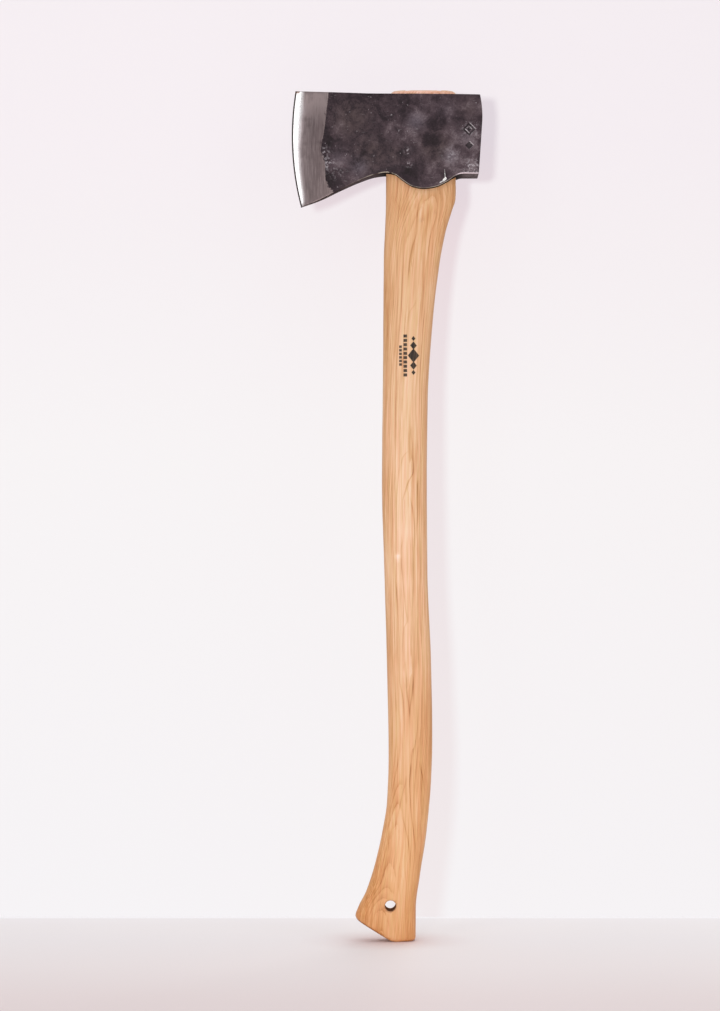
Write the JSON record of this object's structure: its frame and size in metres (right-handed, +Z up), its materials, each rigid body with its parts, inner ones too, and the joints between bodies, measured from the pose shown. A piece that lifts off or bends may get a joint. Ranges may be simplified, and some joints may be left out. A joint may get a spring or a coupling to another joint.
{
  "type": "felling axe",
  "caption": "Felling axe: a forged steel head with a curved cutting edge, wedged onto a long curved hickory handle that ends in a flared knob.",
  "frame": {"origin": "centre of the flat on the butt of the handle, the face that the axe stands on", "axes": "+Z up along the handle to the head, +X towards the poll, so the cutting edge faces -X, and Y across the thickness of the head and handle"},
  "size_m": [0.1771, 0.03, 0.7869],
  "materials": {
    "forged_steel": "dark forge scale on the cheeks, satin ground bevel, honed edge",
    "hickory": "oiled, clear grain",
    "wedge_wood": "sanded end grain",
    "bright_steel": "bright, struck top"
  },
  "bodies": {
    "root": {"axe_head": "forged_steel", "handle": "hickory", "wooden_wedge": "wedge_wood", "steel_wedge_front": "bright_steel", "steel_wedge_rear": "bright_steel"}
  },
  "joints": []
}
